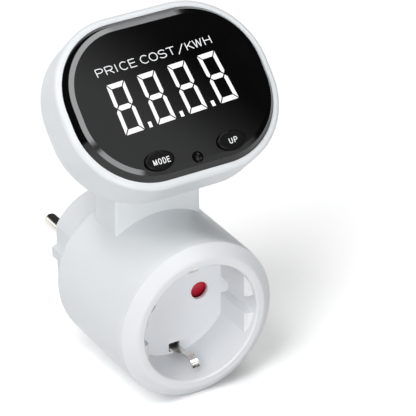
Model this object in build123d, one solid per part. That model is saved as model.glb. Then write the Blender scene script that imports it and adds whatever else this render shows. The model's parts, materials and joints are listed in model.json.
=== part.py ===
from build123d import *
from math import asin, cos, degrees, radians, sin, sqrt
import os

# Plug-in energy meter: a round socket adaptor body with a tilted display head on a neck.
# Origin: centre of the plug's end face, between the pins. +Y points into the wall,
# the outlet faces -Y, +X is the reader's right, +Z is up. Millimetres.

# Round-pin plug and outlet, to the standard that both ends follow
pin_radius = 2.4
pin_length = 19.0
pin_pitch = 19.0
pin_tip_length = 2.0
pin_shank_radius = 2.7    # thicker part of the pin inside the nose, ending flush with its face
recess_depth = 17.5
nose_length = 17.5
nose_radius = 19.3
nose_clearance = 0.8      # outlet mouth past the nose that it takes
nose_flat = 17.0          # centre to each flattened side of the nose
key_height = 1.8          # guide ridge on each flattened side
key_top_width = 3.4
key_base_width = 5.6
key_root = 0.5            # ridge sunk into the flattened side
nose_edge = 0.8

# Body barrel
screw_ring = 3.85         # ring round the nose that carries the base screws
rear_round = 3.5
seam_land = 0.35          # narrow flat left between a rounded edge and the seam beside it
seam_gap = 0.15
body_wall = 2.0
base_thickness = 2.5
lip_thickness = 2.0       # inner lips at both ends of the barrel
rear_lip_width = 1.3
front_ease = 0.5          # barrel drawn in behind the bezel
front_ease_length = 2.4
component_room = 14.2     # earth crossbar to the front of the power board
board_standoff = 4.4      # power board to the base plate

# Outlet cup with its bezel
bezel_depth = 3.1         # front plane to the seam behind the bezel
bezel_step = 0.3          # bezel's edge inside the barrel's radius
bezel_land = 2.7          # mouth to the corner where the bezel turns back
bezel_round = 2.0
cup_wall = 1.8
cup_floor = 1.2
cup_flat = 17.2           # centre to each flat side of the recess
mouth_edge = 0.4
ledge_depth = 2.2         # front plane to the ledge where each flat side starts
ledge_edge = 1.0          # slope between the ledge and the flat side
groove_width = 6.2        # channel in each flat side, open to the round wall
contact_hole_radius = 3.0
contact_countersink = 0.2
clip_slot_width = 3.9
clip_slot_height = 3.1
clip_slot_room = 1.45     # slot's inner edge to the earth spring in it
catch_width = 7.0
catch_length = 2.4
catch_reach = 0.9
catch_root = 0.5          # catch sunk into the cup's wall
catch_gap = 0.1
catch_angles = (30, 150, 210, 330)

# Shutter behind the cup floor, sliding up when two pins push its ramps
shutter_thickness = 3.0
shutter_gap = 0.15
shutter_side = 1.0        # pad past the contact hole at both sides
shutter_over = 0.3        # pad past the contact hole at the top
shutter_skirt = 1.9       # pad past the contact hole at the bottom
shutter_edge = 1.2        # thin lower edge of each ramp
shutter_bridge = 4.6
shutter_clearance = 0.1   # lower edge above the contact hole once it is open
spring_wire = 0.2
spring_radius = 0.9
spring_length = 10.6
spring_turns = 5
spring_facets = 8
spring_peg_radius = 0.5
spring_peg_length = 1.2
rail_width = 2.5
stop_half_width = 2.5
stop_thickness = 2.0
retainer_thickness = 1.0
retainer_radius = 19.0
retainer_bore_gap = 0.6
retainer_peg_radius = 0.9
retainer_peg_head = 1.4
retainer_peg_cap = 0.5

# Contacts and earth path
sleeve_grip_gap = 0.1
sleeve_wall = 0.6
sleeve_slit = 0.8
sleeve_inset = 0.3        # sleeve's mouth inside the retainer
sleeve_flange_radius = 3.7
sleeve_flange = 0.8
sleeve_floor = 0.6
sleeve_tail_socket = 1.2
sleeve_slit_end = 1.5
strap_width = 6.0
strap_thickness = 0.8
strap_bend = 0.5          # bend radius at the middle of the strap
clip_width = 3.6          # earth spring at the recess floor
clip_tip_width = 2.4
earth_reach = 15.3        # centre to the crown of each earth spring in the recess
earth_root = 18.0
earth_crown_depth = 7.5
earth_end_depth = 3.9
earth_link_thickness = 1.0
plug_earth_radius = 17.2
plug_earth_slot_width = 8.4
plug_earth_lip = 2.6
channel_over = 0.5        # earth channel cut past the nose
pin_head_radius = 3.4
pin_head = 1.5
pin_tail_radius = 1.5
pin_tail_end = 0.6        # tail past the front of the board
fit_gap = 0.05

# Power board in the barrel
board_thickness = 1.6
board_radius = 18.4
board_notch_gap = 0.4
board_post_radius = 2.2
board_post_x = 11.5
board_post_z = 11.0
busbar_height = 5.6
busbar_width = 5.0
busbar_thickness = 0.8
shunt_length = 8.0
shunt_rise = 2.2
shunt_thickness = 0.8
shunt_width = 3.2
shunt_foot = 1.5          # flat foot past the busbar's or pad's middle
shunt_step = 1.0
shunt_ramp = 1.2
film_capacitor = (17.5, 11.0, 8.0)
film_capacitor_z = 8.4
film_capacitor_edge = 0.6
smoothing_capacitor_radius = 4.0
smoothing_capacitor_length = 11.0
smoothing_capacitor_x = 8.5
smoothing_capacitor_z = 11.2
can_groove_rise = 1.6
can_groove_width = 0.8
can_groove_depth = 0.3
varistor_radius = 4.3
varistor_thickness = 4.0
varistor_edge = 0.7
varistor_lift = 0.8
varistor_feet = (5.0, 0.8)
fuse_radius = 1.5
fuse_length = 7.0
fuse_edge = 0.4
fuse_z = 13.8
metering_chip = (10.0, 1.6, 4.0)
metering_chip_z = 9.0
leg_count = 8
leg_pitch = 1.27
leg_width = 0.4
leg_lift = 0.2
leg_rise = 0.7
leg_reach = 1.0
connector_size = (12.0, 5.0, 4.2)
connector_wall = 0.9
connector_pocket = 1.6
connector_z = 15.0

# Neck
neck_width = 30.4
neck_depth = 13.5
neck_setback = 6.6        # seat plane to the neck's rear face
neck_corner = 0.9
neck_inner_corner = 0.5
neck_wall = 1.8

# Head, laid out on its own plane: x to the right, y up the face, z outwards
head_tilt = 44.5          # the face leans back this far from upright
head_forward = 14.55      # neck's middle to the middle of the rim plane
head_rise = 72.0          # barrel axis to the middle of the rim plane
head_width = 72.4
head_height = 56.0
head_corner = 25.3
head_depth = 15.5
head_wall = 2.0
head_back_round = 2.5
rim_round = 1.3
rim_width = 2.3
rim_seat = 1.1
rim_height = 3.2
window_rebate = 0.8
window_rise = 2.0
window_draft = 1.4
bevel_width = 1.6
bevel_rise = 0.3
window_gap = 0.1
corner_share = 0.47       # largest corner, as a share of the shorter side

# Digits
digit_count = 4
digit_pitch = 11.0
digit_width = 6.4
digit_height = 16.7
digit_centre = (-0.2, -0.3)
digit_turn = 2.8          # the row climbs to the right
upright_stroke = 1.45
bar_stroke = 1.85
segment_gap = 0.3
segment_depth = 0.8
point_width = 1.25
point_height = 2.0
module_margin_x = 2.2
module_margin_y = 1.8
module_depth = 6.5
module_back_gap = 0.1

# Display board, switches and buttons
display_board_inset = 3.6
display_post_radius = 2.6
display_post_side = 11.7  # head's side to the post
display_post_end = 12.5   # head's end to the post
post_root = 0.2           # post sunk into the head's floor
switch_size = 5.2
switch_height = 3.5
switch_corner = 0.6
switch_wall_gap = 0.1
plunger_radius = 1.7
plunger_gap = 0.08
plunger_rise = 1.6
plunger_socket = 1.4
plunger_floor_gap = 0.2
button_x = 12.5
button_end = 8.3          # head's lower end to the middle of the oval keys
button_half_width = 4.95
button_half_height = 3.05
button_proud = 0.9
button_edge = 0.5
button_gap = 0.15
button_flange = 0.8
button_flange_thickness = 1.0
button_travel = 0.5
button_stop_gap = 0.1
reset_end = 6.2           # head's lower end to the middle of the reset key
reset_radius = 1.7
reset_sink = 0.7
reset_dimple = 0.5
driver_chip = (9.0, 7.0, 1.4)
driver_chip_place = (-15.0, -3.0)

# Neck cable and neck screws
neck_port = (14.0, 6.5)
neck_port_corner = 1.5
cable_width = 10.0
cable_thickness = 1.0
cable_bend = 4.0
neck_boss_side = 4.0      # neck's side to the boss
neck_boss_radius = 2.4
neck_boss_length = 10.0

# Screws
screw_radius = 1.0
screw_head_radius = 1.7
screw_head = 1.1
screw_head_edge = 0.4
screw_gap = 0.05
screw_bite = 6.0
screw_hole_spare = 0.4    # hole past the screw's tip
drive_radius = 0.7
drive_width = 0.35
drive_depth = 0.6
base_screw_head_radius = 1.5
base_screw_sink = 0.2
base_screw_angles = (45, 135, 225, 315)
base_boss_radius = 2.2
base_boss_length = 11.0

# Sizes that several pieces share
mouth_radius = nose_radius + nose_clearance
base_radius = nose_radius + screw_ring
body_radius = base_radius + seam_land + rear_round
base_screw_place = (nose_radius + base_radius) / 2
bezel_radius = body_radius - bezel_step
pin_x = pin_pitch / 2
shutter_half = contact_hole_radius + shutter_side
shutter_up = contact_hole_radius + shutter_over
shutter_down = contact_hole_radius + shutter_skirt
shutter_travel = contact_hole_radius + shutter_down + shutter_clearance
rail_x = pin_x + shutter_half + shutter_gap
spring_top = shutter_up + spring_length
retainer_peg_z = (-shutter_down / 2, shutter_up + shutter_travel / 2)
earth_link_z = plug_earth_radius + strap_thickness / 2 - strap_bend
neck_boss_x = neck_width / 2 - neck_boss_side
display_post_x = head_width / 2 - display_post_side
display_post_y = head_height / 2 - display_post_end
button_y = button_end - head_height / 2
reset_y = reset_end - head_height / 2

# Places along Y, from the plug's seat forwards to the bezel
seat_y = -nose_length
base_y = seat_y - base_thickness
board_y1 = base_y - board_standoff
board_y0 = board_y1 - board_thickness
retainer_y1 = board_y0 - component_room - strap_thickness
retainer_y0 = retainer_y1 - retainer_thickness
shutter_y1 = retainer_y0 - shutter_gap
shutter_y0 = shutter_y1 - shutter_thickness
floor_back_y = shutter_y0 - shutter_gap
floor_y = floor_back_y - cup_floor
front_y = floor_y - recess_depth
bezel_back = front_y + bezel_depth
neck_y = seat_y - neck_setback - neck_depth / 2

# Heights on the head plane
tilt = radians(head_tilt)
head_centre = Vector(0, neck_y - head_forward, head_rise)
head_plane = Plane(origin=head_centre, x_dir=(1, 0, 0), z_dir=(0, -cos(tilt), sin(tilt)))
module_z1 = -window_rebate - module_back_gap
module_z0 = module_z1 - module_depth
display_z1 = module_z0
display_z0 = display_z1 - board_thickness
head_floor_z = head_wall - head_depth
window_inset = rim_width + window_gap
window_face = window_rise + bevel_rise
far = 300.0               # longer than anything it cuts


def save(node, shape):
    shape.label = node
    export_step(shape, "parts/" + node + ".step")


def rod(x, z, radius, y0, y1):
    """Cylinder along Y between two places."""
    return Pos(x, (y0 + y1) / 2, z) * Rot(90, 0, 0) * Cylinder(radius, abs(y1 - y0))


def block(x0, x1, y0, y1, z0, z1):
    """Box between two corners."""
    return Pos((x0 + x1) / 2, (y0 + y1) / 2, (z0 + z1) / 2) * Box(x1 - x0, y1 - y0, z1 - z0)


def turned(edges):
    """Solid of revolution about Y from a closed profile in x (radius) and y."""
    return revolve(make_face(edges), Axis.Y, 360)


def flare(x, radius, edge, y):
    """Cone that opens the front edge of a round hole along Y."""
    return Pos(x, y + edge / 2, 0) * Rot(-90, 0, 0) * Cone(radius + edge, radius, edge)


def rounded(width, height, corner):
    """Rounded rectangle whose corner stays inside its shorter side."""
    return RectangleRounded(width, height, min(corner, corner_share * min(width, height)))


def head_outline(inset):
    """Head outline, drawn in by an inset."""
    return rounded(head_width - 2 * inset, head_height - 2 * inset, head_corner - inset)


def slab(sketch, z0, z1):
    """Extrude a sketch on the head plane between two heights."""
    return extrude(Pos(0, 0, z0) * sketch, z1 - z0)


def peg(x, y, radius, z0, z1):
    """Cylinder square to the head plane between two heights."""
    return Pos(x, y, (z0 + z1) / 2) * Cylinder(radius, z1 - z0)


def on_head(shape):
    """Move a shape from the head's own plane to the frame."""
    return head_plane.location * shape


def along_y(sketch, y0, y1):
    """Extrude a sketch drawn in x and z between two places along Y."""
    return extrude(Pos(0, y1, 0) * Rot(90, 0, 0) * sketch, y1 - y0)


def cross_recess():
    """Cross slot for a screw head, opening at z = 0 and going down."""
    arm = Pos(0, 0, -drive_depth / 2) * Box(2 * drive_radius, drive_width, drive_depth)
    return arm + Rot(0, 0, 90) * arm


def screw(head_radius, length):
    """Pan head screw: head above z = 0, plain shank below."""
    head = Pos(0, 0, screw_head / 2) * Cylinder(head_radius, screw_head)
    head = chamfer(head.edges().group_by(Axis.Z)[-1], screw_head_edge)
    shank = Pos(0, 0, -length / 2) * Cylinder(screw_radius, length)
    return head + shank - Pos(0, 0, screw_head) * cross_recess()


def barrel_outer():
    """Barrel, drawn in a little behind the bezel and rounded at the rear."""
    ease_y = bezel_back + front_ease_length
    ease_radius = (front_ease_length ** 2 + front_ease ** 2) / (2 * front_ease)
    ease_angle = degrees(asin(front_ease_length / ease_radius))
    front_radius = body_radius - front_ease
    rear_mid = seat_y - rear_round
    return turned([
        Line((0, bezel_back), (front_radius, bezel_back)),
        CenterArc((body_radius - ease_radius, ease_y), ease_radius, -ease_angle, ease_angle),
        Line((body_radius, ease_y), (body_radius, rear_mid)),
        CenterArc((body_radius - rear_round, rear_mid), rear_round, 0, 90),
        Line((body_radius - rear_round, seat_y), (0, seat_y)),
        Line((0, seat_y), (0, bezel_back)),
    ])


def head_back_cut(z_level):
    """Everything on the outer side of a level of the head plane."""
    return on_head(Pos(0, 0, z_level + far / 2) * Box(far, far, far))


def neck_prism(inset, corner):
    """Upright neck column from the barrel axis to above the head, drawn in by an inset."""
    profile = rounded(neck_width - 2 * inset, neck_depth - 2 * inset, corner)
    return extrude(Pos(0, neck_y, 0) * profile, head_rise + head_height)


def neck_hole_y():
    """Height on the head plane where the neck's middle line meets the head's back."""
    return (neck_y - head_centre.Y - head_depth * cos(tilt)) / sin(tilt)


def base_boss():
    """Screw boss for the base plate, joined to the barrel wall."""
    y0 = base_y - base_boss_length
    boss = rod(base_screw_place, 0, base_boss_radius, y0, base_y)
    web = block(base_screw_place, body_radius - body_wall / 2, y0, base_y, -base_boss_radius / 2, base_boss_radius / 2)
    return boss + web


def main_housing():
    """Barrel and neck in one hollow moulding, open at both ends and into the head."""
    outer = barrel_outer() + (neck_prism(0, neck_corner) - head_back_cut(-head_depth))
    inner_front = bezel_back + lip_thickness
    inner_rear = base_y - lip_thickness
    hollow = rod(0, 0, body_radius - body_wall, inner_front, inner_rear) + neck_prism(neck_wall, neck_inner_corner)
    shell = outer - hollow
    shell -= rod(0, 0, mouth_radius + cup_wall + seam_gap, bezel_back, inner_front)
    shell -= rod(0, 0, base_radius + seam_gap, base_y, seat_y)
    shell -= rod(0, 0, base_radius - rear_lip_width, inner_rear, seat_y)
    for angle in base_screw_angles:
        shell += Rot(0, angle, 0) * base_boss()
        shell -= Rot(0, angle, 0) * rod(base_screw_place, 0, screw_radius, base_y - base_boss_length, base_y)
    boss_y = neck_hole_y()
    for side in (-1, 1):
        boss = peg(side * neck_boss_x, boss_y, neck_boss_radius, -head_depth - neck_boss_length, -head_depth)
        shell += on_head(boss) & neck_prism(neck_wall / 2, neck_corner)
        bore = peg(side * neck_boss_x, boss_y, screw_radius, -head_depth - screw_bite, -head_depth)
        shell -= on_head(bore)
    return shell


def recess_profile(radius, flat):
    """Round recess outline with two flat sides."""
    return Circle(radius) & Rectangle(2 * flat, 2 * radius)


def ledge_slope(ledge_y):
    """Cut that slopes the front edge of both flat sides of the recess."""
    wide = cup_flat + ledge_edge
    end_y = ledge_y + ledge_edge
    plan = make_face(Polyline((-wide, ledge_y), (wide, ledge_y), (cup_flat, end_y), (-cup_flat, end_y), close=True))
    return extrude(plan, mouth_radius, both=True) & rod(0, 0, mouth_radius, ledge_y, end_y)


def bezel():
    """Front bezel: flat ring at the mouth, turned back in a cone to its seam with the barrel."""
    return turned([
        FilletPolyline((0, front_y), (mouth_radius + bezel_land, front_y), (bezel_radius, bezel_back),
                       radius=bezel_round),
        Line((bezel_radius, bezel_back), (0, bezel_back)),
        Line((0, bezel_back), (0, front_y)),
    ])


def shutter_rail(side):
    """Rail beside the shutter, with staked pegs for the retainer; side +1 is the right."""
    low, high = sorted((side * rail_x, side * (rail_x + rail_width)))
    rail = block(low, high, floor_back_y, retainer_y0, -shutter_down, shutter_up + shutter_travel)
    for z in retainer_peg_z:
        x = side * (rail_x + rail_width / 2)
        rail += rod(x, z, retainer_peg_radius, retainer_y0, retainer_y1)
        rail += rod(x, z, retainer_peg_head, retainer_y1, retainer_y1 + retainer_peg_cap)
    return rail


def stop_block(z0):
    """Block across the middle of the shutter's way, from one height up."""
    return block(-stop_half_width, stop_half_width, floor_back_y, retainer_y0, z0, z0 + stop_thickness)


def spring_peg(z, way):
    """Peg that centres one end of the shutter spring; way +1 points up."""
    peg_shape = Cylinder(spring_peg_radius, spring_peg_length)
    return Pos(0, (shutter_y0 + shutter_y1) / 2, z + way * spring_peg_length / 2) * peg_shape


def clip_slot(side):
    """Floor slot for one earth spring; side +1 is the top."""
    z_in = earth_root - strap_thickness / 2 - clip_slot_room
    low, high = sorted((side * z_in, side * (z_in + clip_slot_height)))
    return block(-clip_slot_width / 2, clip_slot_width / 2, floor_y, floor_back_y, low, high)


def cup_catch():
    """Barbed catch that snaps behind the housing's front lip, drawn at +X."""
    y0 = bezel_back + lip_thickness + catch_gap
    wall = mouth_radius + cup_wall
    profile = Polyline((wall - catch_root, y0), (wall + catch_reach, y0), (wall, y0 + catch_length),
                       (wall - catch_root, y0 + catch_length), close=True)
    return extrude(make_face(profile), catch_width / 2, both=True)


def socket_cup():
    """Outlet cup: bezel, recess with grooved flat sides, holed floor, shutter rails and catches."""
    ledge_y = front_y + ledge_depth
    cup = bezel() + rod(0, 0, mouth_radius + cup_wall, bezel_back, floor_back_y)
    cup -= rod(0, 0, mouth_radius, front_y, ledge_y)
    cup -= flare(0, mouth_radius, mouth_edge, front_y)
    cup -= along_y(recess_profile(mouth_radius, cup_flat), ledge_y, floor_y)
    cup -= ledge_slope(ledge_y)
    groove = block(-mouth_radius, mouth_radius, ledge_y, floor_y, -groove_width / 2, groove_width / 2)
    cup -= groove & rod(0, 0, mouth_radius, ledge_y, floor_y)
    for side in (-1, 1):
        cup -= rod(side * pin_x, 0, contact_hole_radius, floor_y, floor_back_y)
        cup -= flare(side * pin_x, contact_hole_radius, contact_countersink, floor_y)
        cup -= clip_slot(side)
        cup += shutter_rail(side)
    cup += stop_block(spring_top)
    cup += spring_peg(spring_top, -1)
    cup += stop_block(shutter_up - shutter_bridge - shutter_gap - stop_thickness)
    for angle in catch_angles:
        cup += Rot(0, angle, 0) * cup_catch()
    return cup


def nose_profile():
    """Nose outline: round with two flat sides, each with a tapered guide ridge."""
    outline = recess_profile(nose_radius, nose_flat)
    for side in (-1, 1):
        root = side * (nose_flat - key_root)
        top = side * (nose_flat + key_height)
        outline += make_face(Polyline((root, -key_base_width / 2), (top, -key_top_width / 2),
                                      (top, key_top_width / 2), (root, key_base_width / 2), close=True))
    return outline


def earth_channel(side):
    """Channel on the nose and slot through the base plate for one plug earth strip."""
    half = plug_earth_slot_width / 2
    slot_half = strap_width / 2 + fit_gap
    low, high = sorted((side * plug_earth_radius, side * (nose_radius + channel_over)))
    groove = block(-half, half, seat_y, 0, low, high)
    slot_low, slot_high = sorted((side * plug_earth_radius, side * (plug_earth_radius + strap_thickness + fit_gap)))
    slot = block(-slot_half, slot_half, base_y, seat_y, slot_low, slot_high)
    lip_low, lip_high = sorted((side * (plug_earth_radius - plug_earth_lip), side * plug_earth_radius))
    lip = block(-half, half, -strap_thickness, 0, lip_low, lip_high)
    return groove + slot + lip


def plug_base():
    """Rear plate with the plug nose, guide ridges, pin holes, earth channels and posts."""
    nose = along_y(nose_profile(), seat_y, 0)
    nose = chamfer(nose.edges().group_by(Axis.Y)[-1], nose_edge)
    base = rod(0, 0, base_radius, base_y, seat_y) + nose
    for side in (-1, 1):
        base -= rod(side * pin_x, 0, pin_shank_radius + fit_gap, base_y, 0)
        base += rod(side * board_post_x, board_post_z, board_post_radius, board_y1, base_y)
        base -= rod(side * board_post_x, board_post_z, screw_radius, board_y1,
                    board_y0 + screw_bite + screw_hole_spare)
        base -= earth_channel(side)
    for angle in base_screw_angles:
        head_y0 = seat_y - screw_head - base_screw_sink
        base -= Rot(0, angle, 0) * rod(base_screw_place, 0, screw_radius + screw_gap, base_y, seat_y)
        base -= Rot(0, angle, 0) * rod(base_screw_place, 0, base_screw_head_radius + screw_gap, head_y0, seat_y)
    return base


def plug_pin(side):
    """Round contact pin with a rounded tip, thicker shank, inner head and solder tail."""
    pin = rod(0, 0, pin_radius, 0, pin_length)
    pin = fillet(pin.edges().group_by(Axis.Y)[-1], pin_tip_length)
    pin += rod(0, 0, pin_shank_radius, base_y, 0)
    pin += rod(0, 0, pin_head_radius, base_y - pin_head, base_y)
    pin += rod(0, 0, pin_tail_radius, board_y0 - pin_tail_end, base_y - pin_head)
    return Pos(side * pin_x, 0, 0) * pin


def bent_strap(points, thickness):
    """Side view of a bent strap round its middle line, with rounded bends."""
    return trace(FilletPolyline(*points, radius=strap_bend), line_width=thickness)


def socket_earth_clips():
    """Two sprung earth arms in the recess, joined behind the cup by a crossbar."""
    bar_y = retainer_y1 + strap_thickness / 2
    crown_y = front_y + earth_crown_depth
    end_y = front_y + earth_end_depth
    arm = bent_strap([(bar_y, 0), (bar_y, earth_root), (floor_y, earth_root)], strap_thickness)
    arch = Spline((floor_y, earth_root), (crown_y, earth_reach + strap_thickness / 2), (end_y, earth_root),
                  tangents=[(-1, 0), (-0.35, 1)])
    arm += trace(arch, line_width=strap_thickness)
    top = extrude(Plane.YZ * arm, clip_width / 2, both=True)
    half = clip_width / 2
    tip = clip_tip_width / 2
    plan = make_face(Polyline((-half, base_y), (-half, floor_y), (-tip, end_y - strap_thickness),
                              (tip, end_y - strap_thickness), (half, floor_y), (half, base_y), close=True))
    top = top & extrude(plan, far)
    return top + mirror(top, Plane.XY)


def plug_earth_strip():
    """Earth strips on the nose's top and bottom, joined inside the base plate."""
    radius = plug_earth_radius + strap_thickness / 2
    inner_y = base_y - strap_thickness / 2
    face_y = -strap_thickness / 2
    arm = bent_strap([(inner_y, 0), (inner_y, radius), (face_y, radius), (face_y, radius - plug_earth_lip)],
                     strap_thickness)
    top = extrude(Plane.YZ * arm, strap_width / 2, both=True)
    return top + mirror(top, Plane.XY)


def earth_link():
    """Strap that joins the two earth crossbars past the lower edge of the board."""
    y0 = retainer_y1 + strap_thickness
    y1 = base_y - strap_thickness
    return block(-clip_width / 2, clip_width / 2, y0, y1, -earth_link_z, earth_link_thickness - earth_link_z)


def contact_sleeve(side):
    """Slit brass sleeve that grips a plug pin, flanged onto the power board."""
    inner = pin_radius + sleeve_grip_gap
    outer = inner + sleeve_wall
    y0 = retainer_y0 + sleeve_inset
    flange_y = board_y0 - sleeve_flange
    sleeve = rod(0, 0, outer, y0, board_y0) + rod(0, 0, sleeve_flange_radius, flange_y, board_y0)
    sleeve -= rod(0, 0, inner, y0, flange_y - sleeve_floor)
    sleeve -= block(-outer, outer, y0, flange_y - sleeve_slit_end, -sleeve_slit / 2, sleeve_slit / 2)
    sleeve -= rod(0, 0, pin_tail_radius + fit_gap, board_y0 - sleeve_tail_socket, board_y0)
    return Pos(side * pin_x, 0, 0) * sleeve


def shutter():
    """Safety shutter: two ramped pads over the contact holes, a bridge and a spring peg."""
    ramp = make_face(Polyline((shutter_y1, -shutter_down), (shutter_y1, shutter_up), (shutter_y0, shutter_up),
                              (shutter_y1 - shutter_edge, -shutter_down), close=True))
    pad = extrude(Plane.YZ * ramp, shutter_half, both=True)
    inner_x = pin_x - shutter_half
    shape = block(-inner_x, inner_x, shutter_y0, shutter_y1, shutter_up - shutter_bridge, shutter_up)
    shape += spring_peg(shutter_up, 1)
    for side in (-1, 1):
        shape += Pos(side * pin_x, 0, 0) * pad
    return shape


def shutter_spring():
    """Compression spring that holds the shutter closed."""
    height = spring_length - 2 * spring_wire
    coil = Helix(height / spring_turns, height, spring_radius)
    section = Plane(origin=coil @ 0, z_dir=coil % 0) * RegularPolygon(spring_wire, spring_facets)
    spring = sweep(section, path=coil)
    return Pos(0, (shutter_y0 + shutter_y1) / 2, shutter_up + spring_wire) * spring


def shutter_retainer():
    """Plate that holds the shutter against the back of the cup."""
    outline = Circle(retainer_radius) & Rectangle(2 * retainer_radius, 2 * (spring_top + stop_thickness))
    bore = pin_radius + sleeve_grip_gap + sleeve_wall + retainer_bore_gap
    for side in (-1, 1):
        outline -= Pos(side * pin_x, 0) * Circle(bore)
        for z in retainer_peg_z:
            outline -= Pos(side * (rail_x + rail_width / 2), z) * Circle(retainer_peg_radius)
    return along_y(outline, retainer_y0, retainer_y1)


def power_board():
    """Round circuit board with holes for tails and screws and a notch for the earth link."""
    outline = Circle(board_radius)
    notch_z = earth_link_z - earth_link_thickness - board_notch_gap
    outline -= Pos(0, -(notch_z + board_radius)) * Rectangle(clip_width + 2 * board_notch_gap, 2 * board_radius)
    for side in (-1, 1):
        outline -= Pos(side * pin_x, 0) * Circle(pin_tail_radius + fit_gap)
        outline -= Pos(side * board_post_x, board_post_z) * Circle(screw_radius + screw_gap)
    return along_y(outline, board_y0, board_y1)


def busbar(side):
    """Copper bar from a pin tail up the back of the board."""
    outline = Pos(0, busbar_height / 2) * SlotOverall(busbar_height + busbar_width, busbar_width, 90)
    bar = along_y(outline - Circle(pin_tail_radius + fit_gap), board_y1, board_y1 + busbar_thickness)
    return Pos(side * pin_x, 0, 0) * bar


def current_shunt():
    """Bridge of resistance metal from the line busbar to the board."""
    bar_y = board_y1 + busbar_thickness + shunt_thickness / 2
    pad_y = board_y1 + shunt_thickness / 2
    top_y = board_y1 + busbar_thickness + shunt_rise
    x0 = -pin_x
    x1 = shunt_length - pin_x
    bridge = bent_strap([
        (x0 - shunt_foot, bar_y),
        (x0 + shunt_step, bar_y),
        (x0 + shunt_step + shunt_ramp, top_y),
        (x1 - shunt_step - shunt_ramp, top_y),
        (x1 - shunt_step, pad_y),
        (x1 + shunt_foot, pad_y),
    ], shunt_thickness)
    return Pos(0, 0, busbar_height) * extrude(bridge, shunt_width / 2, both=True)


def film_capacitor_body():
    """Box-shaped film capacitor standing on the front of the power board."""
    width, depth, height = film_capacitor
    z = film_capacitor_z
    body = block(-width / 2, width / 2, board_y0 - depth, board_y0, z - height / 2, z + height / 2)
    return fillet(body.edges().group_by(Axis.Y)[0], film_capacitor_edge)


def smoothing_capacitor():
    """Can capacitor standing on the board, with a rolled groove near its foot."""
    radius = smoothing_capacitor_radius
    groove_y1 = board_y0 - can_groove_rise
    groove_y0 = groove_y1 - can_groove_width
    can = rod(0, 0, radius, board_y0 - smoothing_capacitor_length, board_y0)
    can -= rod(0, 0, radius, groove_y0, groove_y1) - rod(0, 0, radius - can_groove_depth, groove_y0, groove_y1)
    return Pos(-smoothing_capacitor_x, 0, -smoothing_capacitor_z) * can


def varistor():
    """Disc varistor standing on edge on the board."""
    y = board_y0 - varistor_radius - varistor_lift
    foot_width, foot_thickness = varistor_feet
    disc = Pos(0, y, 0) * Cylinder(varistor_radius, varistor_thickness)
    disc = chamfer(disc.edges(), varistor_edge)
    feet = block(-foot_width / 2, foot_width / 2, y, board_y0, -foot_thickness / 2, foot_thickness / 2)
    return Pos(smoothing_capacitor_x, 0, -smoothing_capacitor_z) * (disc + feet)


def fusible_resistor():
    """Small wire-wound resistor lying on the board."""
    body = Pos(0, board_y0 - fuse_radius, -fuse_z) * Rot(0, 90, 0) * Cylinder(fuse_radius, fuse_length)
    return chamfer(body.edges(), fuse_edge)


def metering_chip_body():
    """Metering chip on the back of the board, with two rows of legs."""
    width, depth, height = metering_chip
    z = -metering_chip_z
    y0 = board_y1 + leg_lift
    chip = block(-width / 2, width / 2, y0, y0 + depth, z - height / 2, z + height / 2)
    for index in range(leg_count):
        x = (index - (leg_count - 1) / 2) * leg_pitch
        chip += block(x - leg_width / 2, x + leg_width / 2, board_y1, board_y1 + leg_rise,
                      z - height / 2 - leg_reach, z + height / 2 + leg_reach)
    return chip


def pin_header(depth_sign):
    """Header body with its open pocket, standing on z = 0 and opening upwards or downwards."""
    width, depth, height = connector_size
    body = Pos(0, 0, depth_sign * height / 2) * Box(width, depth, height)
    pocket = Box(width - 2 * connector_wall, depth - 2 * connector_wall, connector_pocket)
    return body - Pos(0, 0, depth_sign * (height - connector_pocket / 2)) * pocket


def board_connector():
    """Pin header on the power board that takes the neck cable."""
    return Pos(0, cable_y(), connector_z - connector_size[2] / 2) * pin_header(1)


def display_connector():
    """Header on the back of the display board for the other end of the cable."""
    return on_head(Pos(0, neck_hole_y(), display_z0) * pin_header(-1))


def cable_y():
    """Place along Y of the cable's upright run."""
    return board_y0 - connector_size[1] / 2


def ribbon_cable():
    """Flat cable from the power board up the neck to the display board."""
    start = Vector(0, cable_y(), connector_z + connector_size[2] / 2 - connector_pocket)
    end_z = display_z0 - connector_size[2] + connector_pocket
    end = head_plane.from_local_coords(Vector(0, neck_hole_y(), end_z))
    outward = head_plane.z_dir
    corner = end + outward * ((start.Y - end.Y) / outward.Y)
    path = FilletPolyline(start, corner, end, radius=cable_bend)
    section = Plane(origin=start, x_dir=(1, 0, 0), z_dir=(0, 0, 1)) * Rectangle(cable_width, cable_thickness)
    return sweep(section, path=path)


def head_shell():
    """White head moulding: tub with a thick rim, window rebate, posts and neck port."""
    outer = slab(head_outline(0), -head_depth, 0)
    outer = fillet(outer.edges().group_by(Axis.Z)[-1], rim_round)
    outer = fillet(outer.edges().group_by(Axis.Z)[0], head_back_round)
    shell = outer - slab(head_outline(head_wall), head_floor_z, -rim_height)
    shell -= slab(head_outline(rim_width + rim_seat), -rim_height, 0)
    shell -= slab(head_outline(rim_width), -window_rebate, 0)
    port = Pos(0, neck_hole_y()) * rounded(neck_port[0], neck_port[1], neck_port_corner)
    shell -= slab(port, -head_depth, head_floor_z)
    bore_z = display_z1 - screw_bite - screw_hole_spare
    for side in (-1, 1):
        shell -= peg(side * neck_boss_x, neck_hole_y(), screw_radius + screw_gap, -head_depth, head_floor_z)
        for up in (-1, 1):
            shell += peg(side * display_post_x, up * display_post_y, display_post_radius, head_floor_z - post_root,
                         display_z0)
            shell -= peg(side * display_post_x, up * display_post_y, screw_radius, bore_z, display_z0)
    return on_head(shell)


def window_outline(inset):
    """Window outline, drawn in by an inset from the rim."""
    return head_outline(window_inset + inset)


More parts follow.
